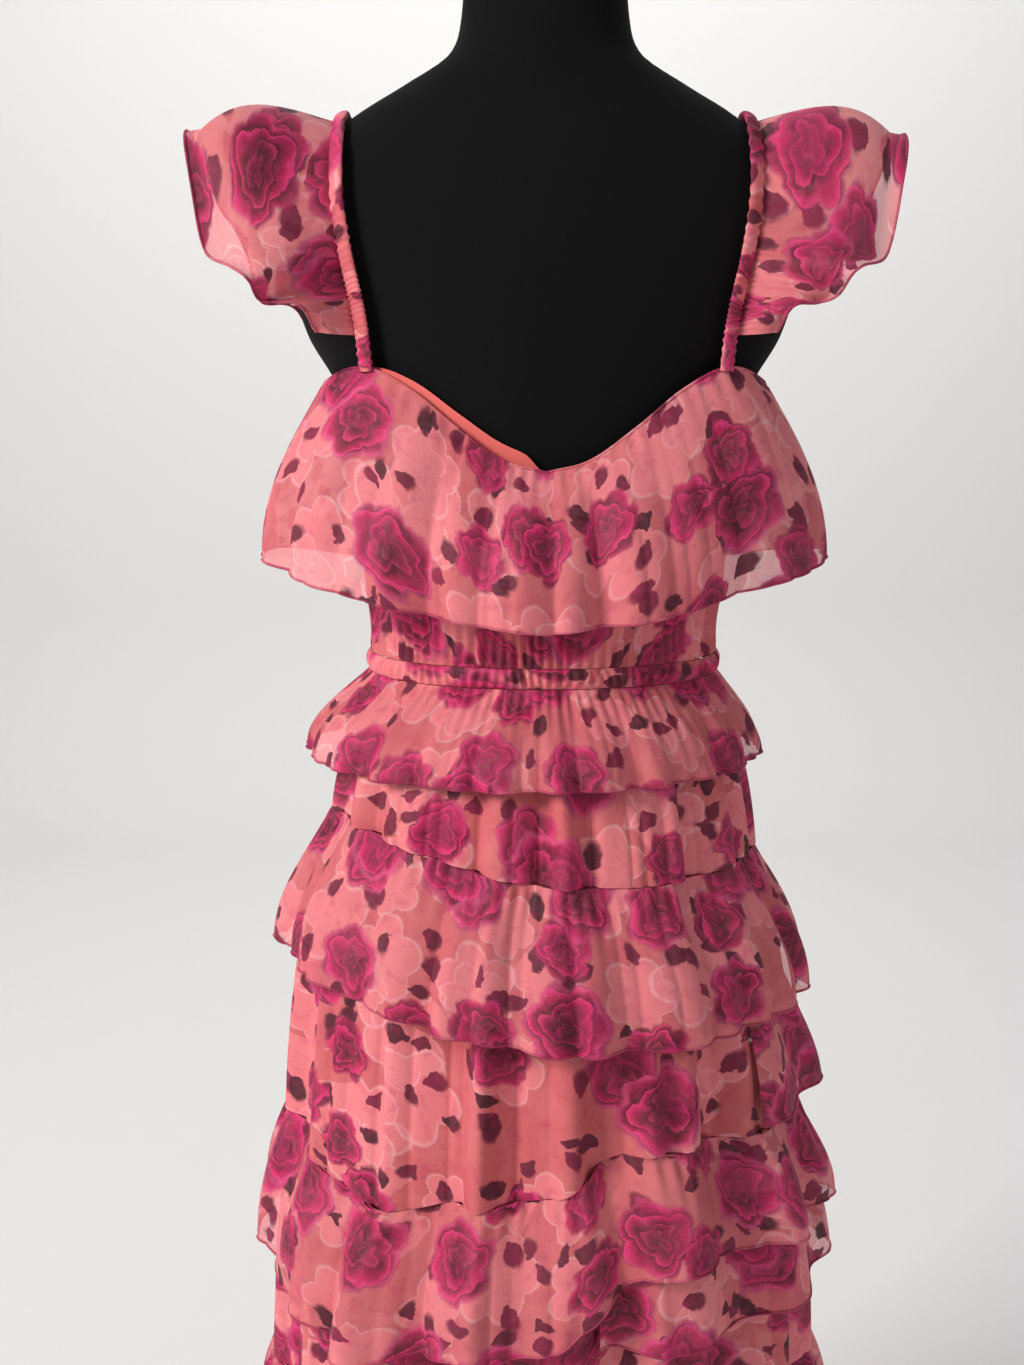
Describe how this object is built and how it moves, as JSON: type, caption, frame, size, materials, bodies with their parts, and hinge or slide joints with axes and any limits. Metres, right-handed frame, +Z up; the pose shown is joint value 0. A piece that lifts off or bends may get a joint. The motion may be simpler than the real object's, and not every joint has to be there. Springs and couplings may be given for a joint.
{
  "type": "maxi dress on a limbless dress form",
  "caption": "Tiered floral maxi dress with flutter shoulder straps, a deep flounce and a gathered waist, standing on a black limbless dress form with a round base.",
  "frame": {"origin": "on the floor, at the centre of the underside of the round base, under the pole", "axes": "+Z up along the pole; the back of the dress faces -Y and its front +Y; +X is to the right of someone looking at the back"},
  "size_m": [0.527, 0.4855, 1.54],
  "materials": {
    "black_jersey": "matt black jersey over foam",
    "black_metal": "satin black paint",
    "rose_print_chiffon": "sheer dusty pink chiffon printed with magenta roses",
    "coral_lining": "smooth coral lining"
  },
  "bodies": {
    "root": {"form_torso": "black_jersey", "stand_pole": "black_metal", "stand_base": "black_metal", "lining_back": "coral_lining", "lining_front": "coral_lining", "bodice_back": "rose_print_chiffon", "bodice_front": "rose_print_chiffon", "flounce_back": "rose_print_chiffon", "flounce_front": "rose_print_chiffon", "waist_casing": "rose_print_chiffon", "waist_ruffle": "rose_print_chiffon", "ruffle_1": "rose_print_chiffon", "ruffle_2": "rose_print_chiffon", "ruffle_3": "rose_print_chiffon", "ruffle_4": "rose_print_chiffon", "skirt_panel_1_back": "rose_print_chiffon", "skirt_panel_1_front": "rose_print_chiffon", "skirt_panel_2_back": "rose_print_chiffon", "skirt_panel_2_front": "rose_print_chiffon", "skirt_panel_3_back": "rose_print_chiffon", "skirt_panel_3_front": "rose_print_chiffon", "skirt_panel_4_back": "rose_print_chiffon", "skirt_panel_4_front": "rose_print_chiffon", "skirt_panel_5_back": "rose_print_chiffon", "skirt_panel_5_front": "rose_print_chiffon", "side_ruffle_upper": "rose_print_chiffon", "side_ruffle_lower": "rose_print_chiffon", "strap_left": "rose_print_chiffon", "strap_right": "rose_print_chiffon", "flutter_left": "rose_print_chiffon", "flutter_right": "rose_print_chiffon"}
  },
  "joints": []
}
